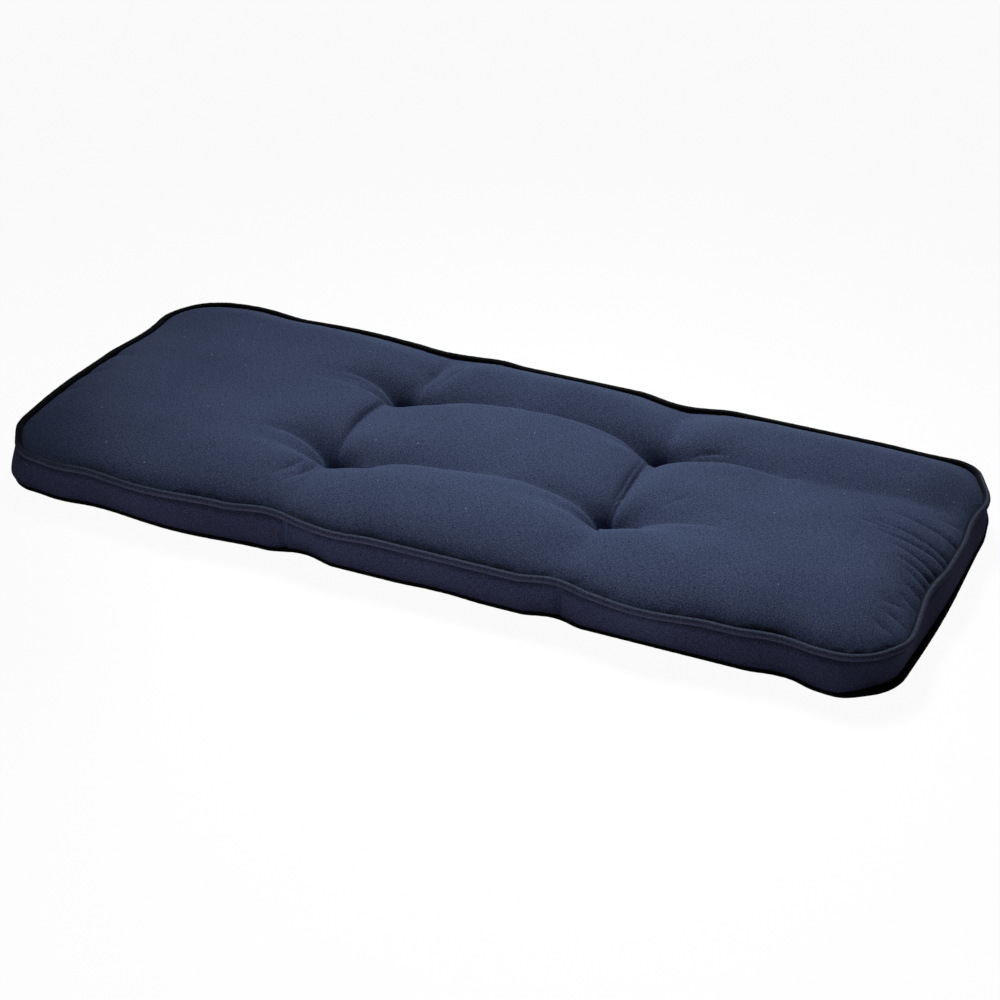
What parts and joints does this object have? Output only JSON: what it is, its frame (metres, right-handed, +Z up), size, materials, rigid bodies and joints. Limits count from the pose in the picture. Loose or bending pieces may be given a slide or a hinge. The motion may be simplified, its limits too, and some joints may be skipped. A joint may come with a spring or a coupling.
{
  "type": "bench cushion",
  "caption": "Long tufted box-edge bench cushion with rounded corners, a boxing strip round the side and self-piped top and bottom seams.",
  "frame": {"origin": "middle of the underside's flat face, which rests on the bench", "axes": "+X along the length, -Y is the front edge, +Z up through the filling"},
  "size_m": [1.1438, 0.4816, 0.0758],
  "materials": {
    "panel_cloth": "plain-weave navy cloth with a fine lighter heather, matte",
    "strip_cloth": "the same navy cloth, matte",
    "top_piping_cloth": "the same cloth cut on the bias and sewn round a cord, matte",
    "bottom_piping_cloth": "the same cloth cut on the bias and sewn round a cord, matte"
  },
  "bodies": {
    "root": {"filled_cushion": "panel_cloth", "boxing_strip": "strip_cloth", "piping_top": "top_piping_cloth", "piping_bottom": "bottom_piping_cloth"}
  },
  "joints": []
}
